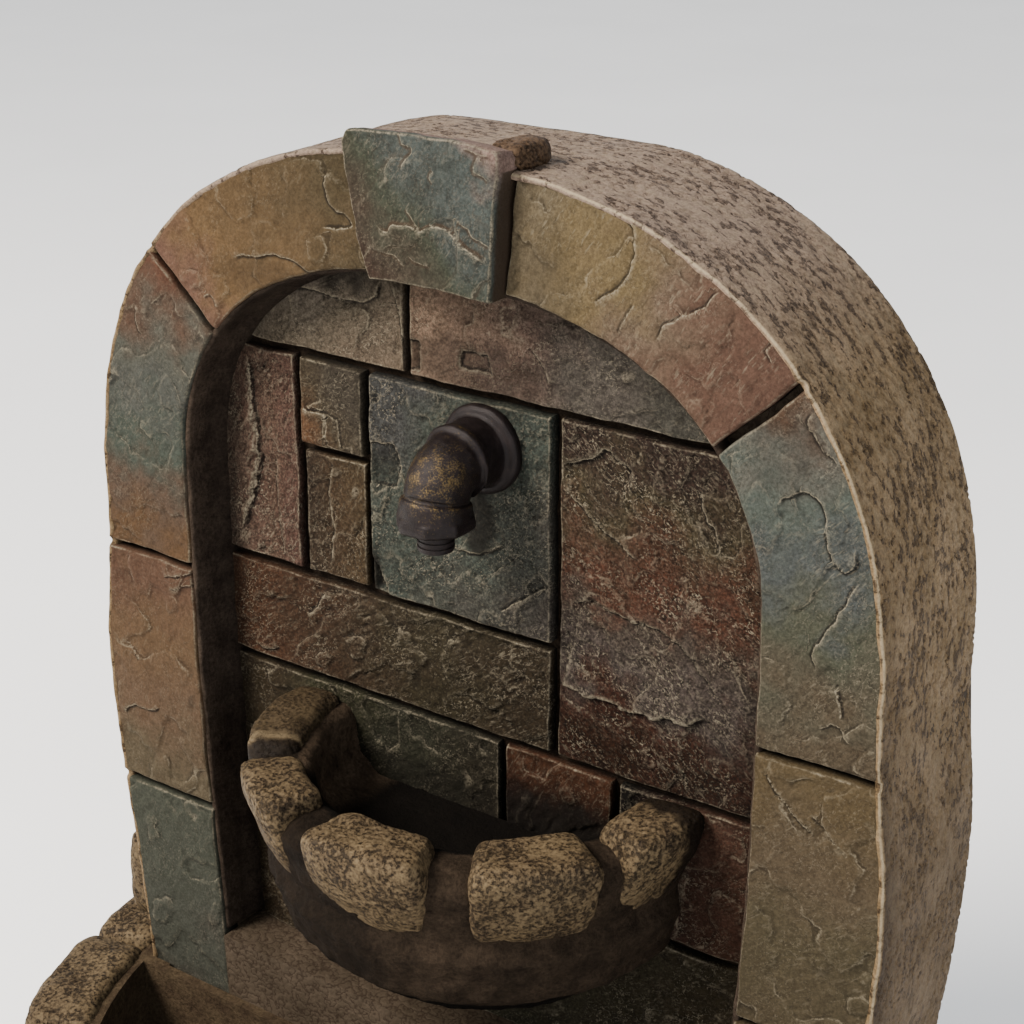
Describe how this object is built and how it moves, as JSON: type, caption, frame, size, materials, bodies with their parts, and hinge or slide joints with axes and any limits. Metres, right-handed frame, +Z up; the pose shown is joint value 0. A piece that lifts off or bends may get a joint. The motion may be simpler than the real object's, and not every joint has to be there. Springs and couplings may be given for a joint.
{
  "type": "floor fountain",
  "caption": "Arched wall-style floor fountain: slate-faced arch and niche, pipe elbow spout, corbelled stone bowl and a round stone basin with a submersible pump.",
  "frame": {"origin": "middle of the footprint on the floor", "axes": "+Z up, -Y to the front, +X to the viewer's right"},
  "size_m": [0.584, 0.344, 0.717],
  "materials": {
    "cast_stone": "cast stone, stained tan brown, finely pitted",
    "slate_grey": "cleft slate, grey green",
    "slate_ochre": "cleft slate, ochre",
    "slate_rust": "cleft slate, rust",
    "slate_brown": "cleft slate, dark brown",
    "boulder_stone": "rounded fieldstone, tan with dark pits",
    "mortar": "dark brown mortar and cast stone",
    "bronze": "dark antique bronze with rubbed highlights",
    "steel": "stainless",
    "black_plastic": "moulded, fine grain",
    "grey_plastic": "moulded",
    "rubber": "soft matt",
    "clear_hose": "clear soft PVC"
  },
  "bodies": {
    "fountain": {"body_shell": "cast_stone", "keystone": "slate_grey", "ring_left_1": "slate_ochre", "ring_left_2": "slate_grey", "ring_left_3": "slate_rust", "ring_left_4": "slate_grey", "ring_right_1": "slate_ochre", "ring_right_2": "slate_grey", "ring_right_3": "slate_brown", "ring_right_4": "slate_brown", "slab_top_left": "slate_brown", "slab_top_right": "slate_rust", "slab_tall": "slate_rust", "slab_small_upper": "slate_brown", "slab_small_lower": "slate_brown", "slab_spout": "slate_grey", "slab_big_right": "slate_brown", "slab_long": "slate_rust", "slab_low_1": "slate_grey", "slab_low_2": "slate_rust", "slab_low_3": "slate_brown", "slab_foot_left": "slate_brown", "slab_foot_right": "slate_grey", "spout_elbow": "bronze", "spout_nipple": "bronze", "tail_pipe": "bronze", "seal_washer": "rubber", "lock_nut": "black_plastic", "hose_elbow": "black_plastic", "upper_bowl": "mortar", "bowl_stone_1": "boulder_stone", "bowl_stone_2": "boulder_stone", "bowl_stone_3": "boulder_stone", "bowl_stone_4": "boulder_stone", "bowl_stone_5": "boulder_stone", "bowl_bolts": "steel", "basin_tub": "mortar", "basin_stones_left": "boulder_stone", "basin_stones_front": "boulder_stone", "basin_stones_right": "boulder_stone", "basin_stones_lower": "boulder_stone", "shoulder_left": "boulder_stone", "shoulder_right": "boulder_stone", "pump_body": "black_plastic", "intake_cover": "black_plastic", "suction_feet": "rubber", "hose": "clear_hose", "hose_clamps": "steel", "back_cover": "black_plastic", "cover_screws": "steel", "cable_grommet": "rubber", "hinge_pins": "steel"},
    "impeller": {"impeller": "black_plastic"},
    "flow_dial": {"flow_dial": "grey_plastic"},
    "door": {"access_door": "black_plastic", "door_pull": "steel"}
  },
  "joints": [
    {"name": "door_hinge", "type": "hinge", "parent": "fountain", "child": "door", "pos_m": [-0.095, 0.1679, 0.27], "axis": [0, 0, 1], "range_deg": [0, 110]},
    {"name": "flow_dial_turn", "type": "hinge", "parent": "fountain", "child": "flow_dial", "pos_m": [0.0268, 0.132, 0.034], "axis": [1, 0, 0], "range_deg": [0, 90]},
    {"name": "impeller_spin", "type": "hinge", "parent": "fountain", "child": "impeller", "pos_m": [0, 0.132, 0.034], "axis": [1, 0, 0], "continuous": true}
  ]
}
